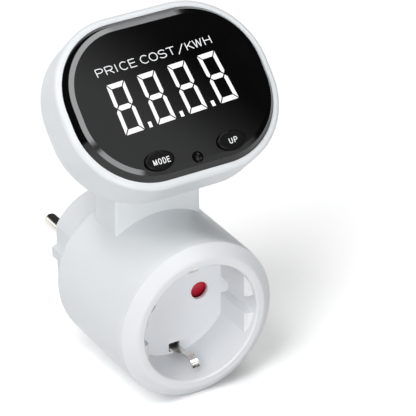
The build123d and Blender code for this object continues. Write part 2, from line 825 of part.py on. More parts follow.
def display_window():
    """Dark window plate: drafted wall, shallow bevel, holes for the buttons."""
    base = slab(window_outline(0), -window_rebate, 0)
    wall = loft([window_outline(0).face(), (Pos(0, 0, window_rise) * window_outline(window_draft)).face()],
                ruled=True)
    bevel = loft([
        (Pos(0, 0, window_rise) * window_outline(window_draft)).face(),
        (Pos(0, 0, window_face) * window_outline(window_draft + bevel_width)).face(),
    ], ruled=True)
    plate = base + wall + bevel
    for side in (-1, 1):
        hole = Pos(side * button_x, button_y) * Ellipse(button_half_width + button_gap, button_half_height + button_gap)
        plate -= slab(hole, -window_rebate, window_face)
    plate -= peg(0, reset_y, reset_radius + button_gap, -window_rebate, window_face)
    return on_head(plate)


def end_segment(way):
    """Top or bottom bar of a digit, mitred at both ends; way +1 is the top."""
    mitre = segment_gap / sqrt(2)
    outer = digit_width / 2 - mitre
    inner = outer - upright_stroke
    high = way * digit_height / 2
    low = way * (digit_height / 2 - bar_stroke)
    return make_face(Polyline((-outer, high), (outer, high), (inner, low), (-inner, low), close=True))


def side_segment(side, way):
    """Upright bar of a digit: mitred at its outer end, pointed at the middle."""
    mitre = segment_gap / sqrt(2)
    top = digit_height / 2 - mitre
    foot = bar_stroke / 2 + mitre
    outer = side * digit_width / 2
    middle = side * (digit_width - upright_stroke) / 2
    inner = side * (digit_width / 2 - upright_stroke)
    return make_face(Polyline((outer, way * top), (inner, way * (top - bar_stroke)), (inner, way * foot),
                              (middle, way * mitre), (outer, way * foot), close=True))


def middle_segment():
    """Middle bar of a digit, pointed at both ends."""
    mitre = segment_gap / sqrt(2)
    point = (digit_width - upright_stroke) / 2 - mitre
    shoulder = point - bar_stroke / 2
    half = bar_stroke / 2
    return make_face(Polyline((-point, 0), (-shoulder, half), (shoulder, half), (point, 0), (shoulder, -half),
                              (-shoulder, -half), close=True))


def digit_faces():
    """Faces of every segment and decimal point on the head plane."""
    segments = [middle_segment()]
    for way in (-1, 1):
        segments.append(end_segment(way))
        segments.extend(side_segment(side, way) for side in (-1, 1))
    row = Pos(*digit_centre) * Rot(0, 0, digit_turn)
    faces = []
    for index in range(digit_count):
        x = (index - (digit_count - 1) / 2) * digit_pitch
        faces.extend(row * Pos(x, 0) * segment for segment in segments)
        if index < digit_count - 1:
            point = Pos(x + digit_pitch / 2, (point_height - digit_height) / 2) * Rectangle(point_width, point_height)
            faces.append(row * point)
    return faces


def digit_segments():
    """Light guides of the digits, one solid for each segment and point."""
    z0 = module_z1 - segment_depth
    bars = [on_head(slab(face, z0, module_z1)) for face in digit_faces()]
    return Compound(children=bars)


def digit_module():
    """Display block with a pocket for each segment."""
    width = (digit_count - 1) * digit_pitch + digit_width + 2 * module_margin_x
    height = digit_height + 2 * module_margin_y
    row = Pos(*digit_centre) * Rot(0, 0, digit_turn)
    module = slab(row * Rectangle(width, height), module_z0, module_z1)
    for face in digit_faces():
        module -= slab(face, module_z1 - segment_depth, module_z1)
    return on_head(module)


def display_board():
    """Circuit board behind the window."""
    board = slab(head_outline(display_board_inset), display_z0, display_z1)
    for side in (-1, 1):
        for up in (-1, 1):
            board -= peg(side * display_post_x, up * display_post_y, screw_radius + screw_gap, display_z0, display_z1)
    return on_head(board)


def switch_places():
    """Middle of each push switch on the head plane."""
    return [(-button_x, button_y), (button_x, button_y), (0, reset_y)]


def switch_body(x, y):
    """Push switch body with a hole for its plunger."""
    z0 = display_z1
    z1 = display_z1 + switch_height
    height = min(switch_size, 2 * (head_height / 2 - head_wall - abs(y) - switch_wall_gap))
    body = Pos(x, y, (z0 + z1) / 2) * Box(switch_size, height, z1 - z0)
    body = chamfer(body.edges().filter_by(Axis.Z), switch_corner)
    bore_z = z1 - plunger_socket - button_travel - plunger_floor_gap
    return on_head(body - peg(x, y, plunger_radius + plunger_gap, bore_z, z1))


def push_switches():
    """The three push switches on the display board."""
    return Compound(children=[switch_body(x, y) for x, y in switch_places()])


def plunger(x, y):
    """Moving stem of one push switch."""
    z1 = display_z1 + switch_height
    return on_head(peg(x, y, plunger_radius, z1 - plunger_socket, z1 + plunger_rise))


def button_stem(x, y, top_z):
    """Stem between a button's flange and its plunger."""
    z0 = display_z1 + switch_height + plunger_rise
    return peg(x, y, plunger_radius, z0, top_z)


def oval_button(x):
    """Oval key cap with a flange under the window and a stem."""
    flange_z1 = -window_rebate - button_stop_gap
    flange_z0 = flange_z1 - button_flange_thickness
    cap = slab(Pos(x, button_y) * Ellipse(button_half_width, button_half_height), flange_z1, window_face + button_proud)
    cap = fillet(cap.edges().group_by(Axis.Z)[-1], button_edge)
    flange = Ellipse(button_half_width + button_flange, button_half_height + button_flange)
    cap += slab(Pos(x, button_y) * flange, flange_z0, flange_z1)
    return on_head(cap + button_stem(x, button_y, flange_z0))


def reset_button():
    """Small recessed key with a dimpled top."""
    flange_z1 = -window_rebate - button_stop_gap
    flange_z0 = flange_z1 - button_flange_thickness
    top = window_face - reset_sink
    key = peg(0, reset_y, reset_radius, flange_z1, top)
    key += peg(0, reset_y, reset_radius + button_flange, flange_z0, flange_z1)
    ball = (reset_radius ** 2 + reset_dimple ** 2) / (2 * reset_dimple)
    key -= Pos(0, reset_y, top + ball - reset_dimple) * Sphere(ball)
    return on_head(key + button_stem(0, reset_y, flange_z0))


def display_driver():
    """Driver chip on the back of the display board."""
    width, height, depth = driver_chip
    x, y = driver_chip_place
    return on_head(Pos(x, y, display_z0 - depth / 2) * Box(width, height, depth))


def display_screws():
    """Screws that hold the display board to the head's posts."""
    screws = []
    for side in (-1, 1):
        for up in (-1, 1):
            place = Pos(side * display_post_x, up * display_post_y, display_z1)
            screws.append(on_head(place * screw(screw_head_radius, screw_bite)))
    return Compound(children=screws)


def neck_screws():
    """Screws that pull the head down onto the neck."""
    length = head_wall + screw_bite - screw_hole_spare
    screws = []
    for side in (-1, 1):
        place = Pos(side * neck_boss_x, neck_hole_y(), head_floor_z)
        screws.append(on_head(place * screw(screw_head_radius, length)))
    return Compound(children=screws)


def base_screws():
    """Sunk screws round the nose that hold the plug base in the barrel."""
    shape = screw(base_screw_head_radius, screw_bite)
    screws = []
    for angle in base_screw_angles:
        place = Rot(0, angle, 0) * Pos(base_screw_place, seat_y - screw_head - base_screw_sink, 0) * Rot(-90, 0, 0)
        screws.append(place * shape)
    return Compound(children=screws)


def board_screws():
    """Screws that hold the power board to the plug base."""
    screws = []
    for side in (-1, 1):
        place = Pos(side * board_post_x, board_y0, board_post_z) * Rot(90, 0, 0)
        screws.append(place * screw(screw_head_radius, screw_bite))
    return Compound(children=screws)


def main():
    os.makedirs("parts", exist_ok=True)
    save("main_housing", main_housing())
    save("socket_cup", socket_cup())
    save("plug_base", plug_base())
    save("plug_pin_left", plug_pin(-1))
    save("plug_pin_right", plug_pin(1))
    save("plug_earth_strip", plug_earth_strip())
    save("socket_earth_clips", socket_earth_clips())
    save("earth_link", earth_link())
    save("contact_sleeve_left", contact_sleeve(-1))
    save("contact_sleeve_right", contact_sleeve(1))
    save("shutter", shutter())
    save("shutter_spring", shutter_spring())
    save("shutter_retainer", shutter_retainer())
    save("power_board", power_board())
    save("line_busbar", busbar(-1))
    save("neutral_busbar", busbar(1))
    save("current_shunt", current_shunt())
    save("film_capacitor", film_capacitor_body())
    save("smoothing_capacitor", smoothing_capacitor())
    save("varistor", varistor())
    save("fusible_resistor", fusible_resistor())
    save("metering_chip", metering_chip_body())
    save("board_connector", board_connector())
    save("ribbon_cable", ribbon_cable())
    save("head_shell", head_shell())
    save("display_window", display_window())
    save("digit_module", digit_module())
    save("digit_segments", digit_segments())
    save("display_board", display_board())
    save("display_driver", display_driver())
    save("display_connector", display_connector())
    save("push_switches", push_switches())
    save("mode_plunger", plunger(-button_x, button_y))
    save("up_plunger", plunger(button_x, button_y))
    save("reset_plunger", plunger(0, reset_y))
    save("mode_button", oval_button(-button_x))
    save("up_button", oval_button(button_x))
    save("reset_button", reset_button())
    save("display_screws", display_screws())
    save("neck_screws", neck_screws())
    save("base_screws", base_screws())
    save("board_screws", board_screws())


main()
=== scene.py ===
import bpy
import json
import math
from mathutils import Matrix, Vector


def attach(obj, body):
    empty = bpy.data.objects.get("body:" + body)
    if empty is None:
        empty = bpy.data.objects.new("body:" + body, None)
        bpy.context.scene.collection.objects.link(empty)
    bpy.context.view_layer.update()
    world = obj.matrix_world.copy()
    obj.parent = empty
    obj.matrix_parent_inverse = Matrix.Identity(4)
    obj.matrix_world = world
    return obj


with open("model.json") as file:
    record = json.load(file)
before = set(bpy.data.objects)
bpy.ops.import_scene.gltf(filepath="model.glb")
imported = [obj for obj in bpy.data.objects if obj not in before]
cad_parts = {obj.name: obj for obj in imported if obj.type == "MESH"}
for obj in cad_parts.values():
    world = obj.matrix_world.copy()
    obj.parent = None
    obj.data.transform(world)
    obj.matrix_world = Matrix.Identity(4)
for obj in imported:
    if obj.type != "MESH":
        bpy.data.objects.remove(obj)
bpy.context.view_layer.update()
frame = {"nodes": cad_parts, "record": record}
nodes = frame["nodes"]

mm = 0.001
frontY = -64.0 * mm                     # plane of the outlet's front ring
barrelRadius = 27.0 * mm                # the barrel rests on the floor
plainWhite = (1.0, 1.0, 1.0, 1.0)

head = {
    "tilt": math.radians(44.5),         # the face leans back this far from upright
    "centre": Vector((0.0, -45.4 * mm, 72.0 * mm)),     # middle of the rim plane
    "face": 2.3 * mm,                   # rim plane to the window's face
    "keyTop": 3.2 * mm,                 # rim plane to the top of the oval keys
}


class Value:                            # a node's output that takes part in arithmetic
    def __init__(self, shader, socket):
        self.shader = shader
        self.socket = socket

    def maths(self, operation, first, second):
        return self.shader.node("ShaderNodeMath", {"operation": operation}, {0: first, 1: second})

    def __add__(self, other):
        return self.maths("ADD", self, other)

    def __radd__(self, other):
        return self.maths("ADD", other, self)

    def __sub__(self, other):
        return self.maths("SUBTRACT", self, other)

    def __rsub__(self, other):
        return self.maths("SUBTRACT", other, self)

    def __mul__(self, other):
        return self.maths("MULTIPLY", self, other)

    def __rmul__(self, other):
        return self.maths("MULTIPLY", other, self)

    def __truediv__(self, other):
        return self.maths("DIVIDE", self, other)

    def __pow__(self, other):
        return self.maths("POWER", self, other)

    def clamp(self, low=0.0, high=1.0):
        return self.maths("MINIMUM", self.maths("MAXIMUM", self, low), high)


noiseLow = 0.3                          # nearly all of a noise texture lies between these two
noiseHigh = 0.7


class Shader:                           # builds one node tree
    def __init__(self, tree):
        self.tree = tree
        self.tree.nodes.clear()

    def feed(self, socket, value):      # a link or a plain value
        if isinstance(value, Value):
            self.tree.links.new(value.socket, socket)
        else:
            socket.default_value = value

    def node(self, kind, settings=None, sockets=None, out=0):
        made = self.tree.nodes.new(kind)
        for key, value in (settings or {}).items():
            setattr(made, key, value)
        for key, value in (sockets or {}).items():
            self.feed(made.inputs[key], value)
        return Value(self, made.outputs[out]) if made.outputs else None

    def place(self, scale=1.0, stretch=(1.0, 1.0, 1.0)):
        coordinates = self.node("ShaderNodeTexCoord", out="Object")
        size = tuple(scale * part for part in stretch)
        return self.node("ShaderNodeMapping", {}, {"Vector": coordinates, "Scale": size})

    def noise(self, scale, detail=3.0, stretch=(1.0, 1.0, 1.0), roughness=0.55):
        return self.node("ShaderNodeTexNoise", {}, {
            "Vector": self.place(1.0, stretch), "Scale": scale, "Detail": detail, "Roughness": roughness})

    def spread(self, noise, low, high):
        return self.node("ShaderNodeMapRange", {}, {
            "Value": noise, "From Min": noiseLow, "From Max": noiseHigh, "To Min": low, "To Max": high})

    def blend(self, share, first, second):
        made = self.node("ShaderNodeMix", {"data_type": "RGBA"}, out=2)      # output 2 is the colour
        inputs = made.socket.node.inputs
        for name, value in {"Factor": share, "A": first, "B": second}.items():
            self.feed([socket for socket in inputs if socket.name == name and socket.enabled][0], value)
        return made

    def bump(self, height, distance):
        return self.node("ShaderNodeBump", {}, {"Height": height, "Distance": distance, "Strength": 1.0},
                         out="Normal")

    def mottled(self, noise, colour, low, high):    # patches a little darker and brighter than the colour
        return self.blend(self.spread(noise, 0.0, 1.0), tint(colour, low), tint(colour, high))

    def uneven(self, noise, look):      # roughness that wanders about its middle
        middle = look["roughness"]
        return self.spread(noise, middle - look["roughSpread"], middle + look["roughSpread"])


def tint(colour, factor):
    return tuple(min(part * factor, 1.0) for part in colour) + (1.0,)


def newMaterial(name):
    made = bpy.data.materials.new(name)
    made.use_nodes = True
    return made, Shader(made.node_tree)


def finishMaterial(shader, sockets):
    surface = shader.node("ShaderNodeBsdfPrincipled", {}, sockets)
    shader.node("ShaderNodeOutputMaterial", {}, {"Surface": surface})


def mouldedPlastic(name, look):         # fine spark grain, faint cloudiness, soft gloss
    made, shader = newMaterial(name)
    cloud = shader.noise(look["cloudScale"], 2.0)
    grain = shader.noise(look["grainScale"], 2.0)
    flow = shader.noise(look["flowScale"])
    finishMaterial(shader, {
        "Base Color": shader.mottled(cloud, look["colour"], 1.0 - look["shift"], 1.0 + look["shift"]),
        "Roughness": shader.uneven(flow, look),
        "Normal": shader.bump(grain, look["grainDepth"]),
        "Specular IOR Level": look["specular"],
        "IOR": look["ior"]})
    return made


def drawnMetal(name, look):             # fine lines along the strip or wire, worn brighter patches
    made, shader = newMaterial(name)
    lines = shader.noise(look["lineScale"], 4.0, look["stretch"])
    patches = shader.noise(look["patchScale"])
    finishMaterial(shader, {
        "Base Color": shader.mottled(patches, look["colour"], 1.0 - look["shift"], 1.0 + look["shift"]),
        "Roughness": shader.uneven(lines, look),
        "Metallic": 1.0,
        "Normal": shader.bump(lines, look["lineDepth"])})
    return made


def circuitBoard(name, look):           # solder mask over a grid of faint copper tracks
    made, shader = newMaterial(name)
    tracks = shader.node("ShaderNodeTexBrick", {}, {
        "Vector": shader.place(look["trackScale"]), "Scale": 1.0, "Mortar Size": look["trackWidth"],
        "Mortar Smooth": look["trackBlur"]}, out="Fac")
    cloud = shader.noise(look["cloudScale"])
    mask = shader.mottled(cloud, look["colour"], 1.0 - look["shift"], 1.0 + look["shift"])
    finishMaterial(shader, {
        "Base Color": shader.blend(tracks * look["trackShare"], mask, tint(look["trackColour"], 1.0)),
        "Roughness": look["roughness"],
        "Normal": shader.bump(tracks, look["trackHeight"])})
    return made


def windowGloss(name, look):            # polished black plastic with a faint ripple from the mould
    made, shader = newMaterial(name)
    ripple = shader.noise(look["rippleScale"], 1.0)
    haze = shader.noise(look["hazeScale"])
    finishMaterial(shader, {
        "Base Color": shader.mottled(haze, look["colour"], 1.0 - look["shift"], 1.0 + look["shift"]),
        "Roughness": shader.uneven(haze, look),
        "IOR": look["ior"],
        "Normal": shader.bump(ripple, look["rippleDepth"])})
    return made


def litPrint(name, look):               # marks that glow by emission, even, with a faint mottle; on the keys the glow is painted light on printed letters
    made, shader = newMaterial(name)
    mottle = shader.noise(look["mottleScale"], 2.0)
    finishMaterial(shader, {
        "Base Color": tint(look["unlit"], 1.0),
        "Roughness": look["roughness"],
        "Emission Color": shader.mottled(mottle, look["colour"], look["dull"], 1.0),
        "Emission Strength": look["glow"]})
    return made


white = {"colour": (0.85, 0.88, 0.90), "shift": 0.006, "roughness": 0.36, "roughSpread": 0.04,
         "specular": 0.5, "ior": 1.5, "cloudScale": 40.0, "grainScale": 2600.0, "flowScale": 90.0,
         "grainDepth": 0.000004}
plasticLooks = {
    "shellWhite": dict(white),
    "cupWhite": dict(white, colour=(0.86, 0.878, 0.903), roughness=0.5),
    "baseWhite": dict(white, colour=(0.845, 0.873, 0.893), roughness=0.4),
    "retainerWhite": dict(white, colour=(0.7, 0.7, 0.68), roughness=0.5),
    "keyBlack": dict(white, colour=(0.003, 0.003, 0.0033), roughness=0.26, specular=0.11,
                     grainDepth=0.000002),
    "shutterRed": dict(white, colour=(0.6, 0.02, 0.045), roughness=0.3),
    "filmYellow": dict(white, colour=(0.75, 0.5, 0.06), roughness=0.35),
    "varistorBlue": dict(white, colour=(0.04, 0.1, 0.35), roughness=0.4, grainDepth=0.00002),
    "resistorGreen": dict(white, colour=(0.12, 0.26, 0.16), roughness=0.6),
    "chipBlack": dict(white, colour=(0.02, 0.02, 0.022), roughness=0.55, grainDepth=0.00001),
    "connectorWhite": dict(white, colour=(0.72, 0.69, 0.6), roughness=0.45),
    "cableGrey": dict(white, colour=(0.3, 0.31, 0.33), roughness=0.5),
    "moduleBlack": dict(white, colour=(0.015, 0.015, 0.016), roughness=0.6),
    "segmentWhite": dict(white, colour=(0.85, 0.88, 0.9), roughness=0.2),
    "switchBlack": dict(white, colour=(0.03, 0.03, 0.03), roughness=0.5),
    "plungerWhite": dict(white, colour=(0.7, 0.7, 0.7), roughness=0.4),
}

nickel = {"colour": (0.72, 0.70, 0.66), "shift": 0.05, "roughness": 0.24, "roughSpread": 0.07,
          "patchScale": 120.0, "lineScale": 900.0, "stretch": (1.0, 0.12, 1.0), "lineDepth": 0.000004}
metalLooks = {
    "pinNickel": dict(nickel, roughness=0.18, roughSpread=0.05),
    "earthNickel": dict(nickel),
    "contactBrass": dict(nickel, colour=(0.75, 0.55, 0.22)),
    "busbarCopper": dict(nickel, colour=(0.78, 0.4, 0.25)),
    "shuntMetal": dict(nickel, colour=(0.5, 0.44, 0.38)),
    "springSteel": dict(nickel, colour=(0.6, 0.6, 0.62), stretch=(1.0, 1.0, 0.2)),
    "screwSteel": dict(nickel, colour=(0.5, 0.5, 0.52), roughness=0.35),
    "canAluminium": dict(nickel, colour=(0.7, 0.71, 0.73), roughness=0.32),
}

lit = {"colour": (0.97, 0.98, 1.0), "dull": 0.97, "mottleScale": 700.0, "unlit": (0.05, 0.05, 0.05),
       "roughness": 0.5}
litLooks = {
    "digitGlow": dict(lit, colour=(1.0, 1.0, 1.0), glow=0.98),
    "legendGlow": dict(lit, glow=0.95),
    # the keys' printed letters get a painted glow in place of lamp light falling on white ink
    "keyPrint": dict(lit, glow=0.9),
}

boardLook = {"colour": (0.02, 0.16, 0.07), "shift": 0.15, "roughness": 0.35, "cloudScale": 60.0,
             "trackScale": 420.0, "trackWidth": 0.06, "trackBlur": 0.2, "trackShare": 0.5,
             "trackColour": (0.06, 0.28, 0.12), "trackHeight": 0.00003}
windowLook = {"colour": (0.002, 0.002, 0.0022), "shift": 0.1, "roughness": 0.07, "roughSpread": 0.015,
              "ior": 1.5, "rippleScale": 22.0, "rippleDepth": 0.00002, "hazeScale": 60.0}

slotLooks = {                           # the record's slots and the materials made for them
    "shell_white": "shellWhite", "cup_white": "cupWhite", "base_white": "baseWhite",
    "retainer_white": "retainerWhite", "window_black": "windowBlack", "key_black": "keyBlack",
    "shutter_red": "shutterRed", "pin_nickel": "pinNickel", "earth_nickel": "earthNickel",
    "contact_brass": "contactBrass", "busbar_copper": "busbarCopper", "shunt_metal": "shuntMetal",
    "spring_steel": "springSteel", "screw_steel": "screwSteel", "board_green": "boardGreen",
    "film_capacitor_yellow": "filmYellow", "can_aluminium": "canAluminium", "varistor_blue": "varistorBlue",
    "resistor_green": "resistorGreen", "chip_black": "chipBlack", "connector_white": "connectorWhite",
    "cable_grey": "cableGrey", "module_black": "moduleBlack", "segment_white": "segmentWhite",
    "switch_black": "switchBlack", "plunger_white": "plungerWhite",
}


def makeMaterials():
    made = {}
    for maker, looks in ((mouldedPlastic, plasticLooks), (drawnMetal, metalLooks), (litPrint, litLooks)):
        for name, look in looks.items():
            made[name] = maker(name, look)
    made["boardGreen"] = circuitBoard("boardGreen", boardLook)
    made["windowBlack"] = windowGloss("windowBlack", windowLook)
    return made


def dressNodes(materials):
    for part in frame["record"]["subparts"]:
        node = nodes[part["node"]]
        node.data.materials.clear()
        node.data.materials.append(materials[slotLooks[part["material_slot"]]])


materials = makeMaterials()
dressNodes(materials)
print("materials made:", len(materials))


headTurn = Matrix((                     # columns: right, up the face, out of the face
    (1.0, 0.0, 0.0),
    (0.0, math.sin(head["tilt"]), -math.cos(head["tilt"])),
    (0.0, math.cos(head["tilt"]), math.sin(head["tilt"])),
)).to_4x4()
headPlace = Matrix.Translation(head["centre"]) @ headTurn


def turned(angle):                      # a turn about the axis that stands on the head's face
    return Matrix.Rotation(angle, 4, "Z")


def meshPiece(name, points, faces, material, place):
    mesh = bpy.data.meshes.new(name)
    mesh.from_pydata([tuple(place @ Vector(p)) for p in points], [], faces)
    mesh.update()
    mesh.materials.append(material)
    made = bpy.data.objects.new(name, mesh)
    bpy.context.scene.collection.objects.link(made)
    return made


digits = {
    "count": 4,
    "pitch": 10.95 * mm,
    "width": 6.35 * mm,
    "height": 16.4 * mm,
    "upright": 1.2 * mm,                # width of the upright segments
    "bar": 1.57 * mm,                   # height of the level segments
    "gap": 0.38 * mm,                   # dark line between two segments
    "waist": 0.28 * mm,                 # the middle segment sits this far over the centre
    "centre": Vector((-0.14 * mm, -0.4 * mm, 0.0)),
    "turn": math.radians(2.8),          # the row climbs to the right
    "lean": 0.022,                      # the digits lean to the left,
    "fan": 2.85,                        # and by this much more for each metre to the right
    "pointWidth": 1.1 * mm,
    "pointHeight": 1.8 * mm,
    "rise": 0.06 * mm,                  # how far the marks stand off the window
    "thickness": 0.05 * mm,
}


def digitOutlines(look):                # segments of one digit as closed outlines round (0, 0)
    mitre = look["gap"] / math.sqrt(2.0)
    wide = look["width"] / 2
    high = look["height"] / 2
    upright = look["upright"]
    bar = look["bar"]
    waist = look["waist"]
    tip = wide - mitre
    point = wide - upright / 2 - mitre
    shoulder = point - bar / 2
    end = [(-tip, high), (tip, high), (tip - upright, high - bar), (upright - tip, high - bar)]
    middle = [(-point, 0), (-shoulder, bar / 2), (shoulder, bar / 2), (point, 0), (shoulder, -bar / 2),
              (-shoulder, -bar / 2)]
    outlines = [end, [(x, y + waist) for x, y in middle], [(x, -y) for x, y in end]]
    for flipX in (1, -1):
        for flipY in (1, -1):
            foot = mitre + flipY * waist
            side = [(wide, high - mitre), (wide - upright, high - mitre - bar),
                    (wide - upright, foot + bar / 2), (wide - upright / 2, foot), (wide, foot + bar / 2)]
            outlines.append([(flipX * x, flipY * y) for x, y in side])
    return outlines


def plate(outline, low, high):          # closed prism over an outline, faces outwards
    area = sum(a[0] * b[1] - b[0] * a[1] for a, b in zip(outline, outline[1:] + outline[:1]))
    ring = outline if area > 0 else outline[::-1]
    count = len(ring)
    points = [(x, y, low) for x, y in ring] + [(x, y, high) for x, y in ring]
    faces = [tuple(range(count - 1, -1, -1)), tuple(range(count, 2 * count))]
    for i in range(count):
        after = (i + 1) % count
        faces.append((i, after, count + after, count + i))
    return points, faces


def joinPlates(outlines, low, high):
    points = []
    faces = []
    for outline in outlines:
        newPoints, newFaces = plate(outline, low, high)
        faces += [tuple(i + len(points) for i in face) for face in newFaces]
        points += newPoints
    return points, faces


def repeatTree(name, material):         # copies of the piece's own mesh along X, joined into one
    tree = bpy.data.node_groups.new(name, "GeometryNodeTree")
    face = tree.interface
    face.new_socket("Geometry", in_out="INPUT", socket_type="NodeSocketGeometry")
    count = face.new_socket("Count", in_out="INPUT", socket_type="NodeSocketInt")
    pitch = face.new_socket("Pitch", in_out="INPUT", socket_type="NodeSocketFloat")
    start = face.new_socket("Start", in_out="INPUT", socket_type="NodeSocketVector")
    face.new_socket("Geometry", in_out="OUTPUT", socket_type="NodeSocketGeometry")
    taken = tree.nodes.new("NodeGroupInput")
    line = tree.nodes.new("GeometryNodeMeshLine")
    step = tree.nodes.new("ShaderNodeCombineXYZ")
    copies = tree.nodes.new("GeometryNodeInstanceOnPoints")
    real = tree.nodes.new("GeometryNodeRealizeInstances")
    paint = tree.nodes.new("GeometryNodeSetMaterial")
    given = tree.nodes.new("NodeGroupOutput")
    paint.inputs["Material"].default_value = material
    links = tree.links
    links.new(taken.outputs["Count"], line.inputs["Count"])
    links.new(taken.outputs["Start"], line.inputs["Start Location"])
    links.new(taken.outputs["Pitch"], step.inputs["X"])
    links.new(step.outputs[0], line.inputs["Offset"])
    links.new(line.outputs[0], copies.inputs["Points"])
    links.new(taken.outputs["Geometry"], copies.inputs["Instance"])
    links.new(copies.outputs[0], real.inputs[0])
    links.new(real.outputs[0], paint.inputs["Geometry"])
    links.new(paint.outputs[0], given.inputs[0])
    return tree, {"Count": count.identifier, "Pitch": pitch.identifier, "Start": start.identifier}


def repeated(name, outlines, look, count, start, material):
    top = head["face"] + look["rise"]
    points, faces = joinPlates(outlines, top - look["thickness"], top)
    source = meshPiece(name + "Source", points, faces, material, Matrix.Identity(4))
    tree, inputs = repeatTree(name + "Tree", material)
    modifier = source.modifiers.new("repeat", "NODES")
    modifier.node_group = tree
    modifier[inputs["Count"]] = count
    modifier[inputs["Pitch"]] = look["pitch"]
    modifier[inputs["Start"]] = start
    bpy.context.view_layer.update()
    graph = bpy.context.evaluated_depsgraph_get()
    mesh = bpy.data.meshes.new_from_object(source.evaluated_get(graph))
    for vertex in mesh.vertices:
        vertex.co.x -= vertex.co.y * (look["lean"] + look["fan"] * vertex.co.x)
    mesh.transform(headPlace @ Matrix.Translation(look["centre"]) @ turned(look["turn"]))
    bpy.data.objects.remove(source)
    made = bpy.data.objects.new(name, mesh)
    bpy.context.scene.collection.objects.link(made)
    return made


def makeDigits(look):
    first = (1 - look["count"]) / 2 * look["pitch"]
    glow = materials["digitGlow"]
    places = repeated("digitMarks", digitOutlines(look), look, look["count"], (first, 0.0, 0.0), glow)
    halfW = look["pointWidth"] / 2
    dot = [(-halfW, 0), (halfW, 0), (halfW, look["pointHeight"]), (-halfW, look["pointHeight"])]
    firstDot = (first + look["pitch"] / 2, -look["height"] / 2, 0.0)
    dots = repeated("pointMarks", [dot], look, look["count"] - 1, firstDot, glow)
    for piece in (places, dots):
        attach(piece, "meter")


makeDigits(digits)
print("digits made:", digits["count"])


def bend(middleX, middleY, radiusX, radiusY, first, last, steps=10):    # part of an oval, angles in degrees
    turns = [math.radians(first + (last - first) * i / steps) for i in range(steps + 1)]
    return [(middleX + radiusX * math.cos(turn), middleY + radiusY * math.sin(turn)) for turn in turns]


bowl = [(0, 1), (0.5, 1)] + bend(0.58, 0.74, 0.42, 0.26, 90, -90) + [(0, 0.48)]     # of P and R
glyphs = {                              # the pen's path for each letter, in a box one wide and one high
    "C": [bend(0.52, 0.5, 0.52, 0.5, 44, 316, 22)],
    "D": [[(0, 0), (0, 1), (0.4, 1)] + bend(0.45, 0.5, 0.55, 0.5, 90, -90, 16) + [(0.4, 0), (0, 0)]],
    "E": [[(1, 1), (0, 1), (0, 0), (1, 0)], [(0, 0.53), (0.92, 0.53)]],
    "H": [[(0, 0), (0, 1)], [(1, 0), (1, 1)], [(0, 0.53), (1, 0.53)]],
    "I": [[(0, 0), (0, 1)]],
    "K": [[(0, 0), (0, 1)], [(0.92, 1), (0, 0.36)], [(0.3, 0.57), (1, 0)]],
    "M": [[(0, 0), (0, 1)], [(0, 1), (0.5, 0)], [(0.5, 0), (1, 1)], [(1, 1), (1, 0)]],
    "O": [bend(0.5, 0.5, 0.5, 0.5, 0, 360, 28)],
    "P": [[(0, 0), (0, 1)], bowl],
    "R": [[(0, 0), (0, 1)], bowl, [(0.5, 0.48), (1, 0)]],
    "S": [bend(0.5, 0.75, 0.44, 0.25, 18, 270, 14) + bend(0.5, 0.26, 0.48, 0.26, 88, -160, 14)],
    "T": [[(0, 1), (1, 1)], [(0.5, 0), (0.5, 1)]],
    "U": [[(0, 1), (0, 0.36)] + bend(0.5, 0.36, 0.5, 0.36, 180, 360, 12) + [(1, 1)]],
    "W": [[(0, 1), (0.25, 0)], [(0.25, 0), (0.5, 1)], [(0.5, 1), (0.75, 0)], [(0.75, 0), (1, 1)]],
    "/": [[(0, -0.16), (1, 1)]],
}

# key letters are printed, drawn with a painted glow from the emissive print material
keyWord = {"cap": 1.88, "stroke": 0.25, "turn": 0.0, "lean": 0.0, "level": "keyTop", "material": "keyPrint"}
lettering = {                           # each letter with the left and right end of its ink, in mm
    "legendMarks": {
        "letters": [
            ("P", -21.60, -19.00), ("R", -18.40, -15.66), ("I", -14.80, -14.40), ("C", -13.40, -10.65),
            ("E", -10.13, -7.76), ("C", -6.20, -3.30), ("O", -3.10, -0.22), ("S", 0.14, 2.90),
            ("T", 3.20, 6.10), ("/", 6.53, 9.28), ("K", 9.85, 12.40), ("W", 12.50, 15.60),
            ("H", 16.23, 18.75)],
        "foot": (-21.45, 9.72), "cap": 2.75, "stroke": 0.265, "turn": 1.9, "lean": 4.0,
        "level": "face", "material": "legendGlow", "body": "meter"},
    "modeMarks": {
        **keyWord,
        "letters": [
            ("M", -15.00, -13.72), ("O", -13.32, -12.14), ("D", -11.74, -10.66), ("E", -10.30, -9.18)],
        "foot": (-15.00, -21.05), "body": "mode_key"},
    "upMarks": {
        **keyWord,
        "letters": [("U", 11.38, 12.58), ("P", 13.08, 14.32)],
        "foot": (11.38, -20.92), "body": "up_key"},
}

nearlyZero = 1e-9
leastCosine = 0.4                       # keeps the mitre short where a stroke turns sharply


def ribbon(line, width):                # left and right edge of one pen stroke of even width
    left = []
    right = []
    closed = math.dist(line[0], line[-1]) < nearlyZero
    count = len(line)
    for i, (x, y) in enumerate(line):
        before = line[i - 1] if i else (line[-2] if closed else line[0])
        after = line[i + 1] if i < count - 1 else (line[1] if closed else line[-1])
        wayIn = Vector((x - before[0], y - before[1]))
        wayOut = Vector((after[0] - x, after[1] - y))
        wayIn = wayIn.normalized() if wayIn.length > nearlyZero else wayOut.normalized()
        wayOut = wayOut.normalized() if wayOut.length > nearlyZero else wayIn
        across = Vector((-wayIn.y - wayOut.y, wayIn.x + wayOut.x)).normalized()
        reach = width / 2 / max(across.dot(Vector((-wayIn.y, wayIn.x))), leastCosine)
        left.append((x + across.x * reach, y + across.y * reach))
        right.append((x - across.x * reach, y - across.y * reach))
    return left, right


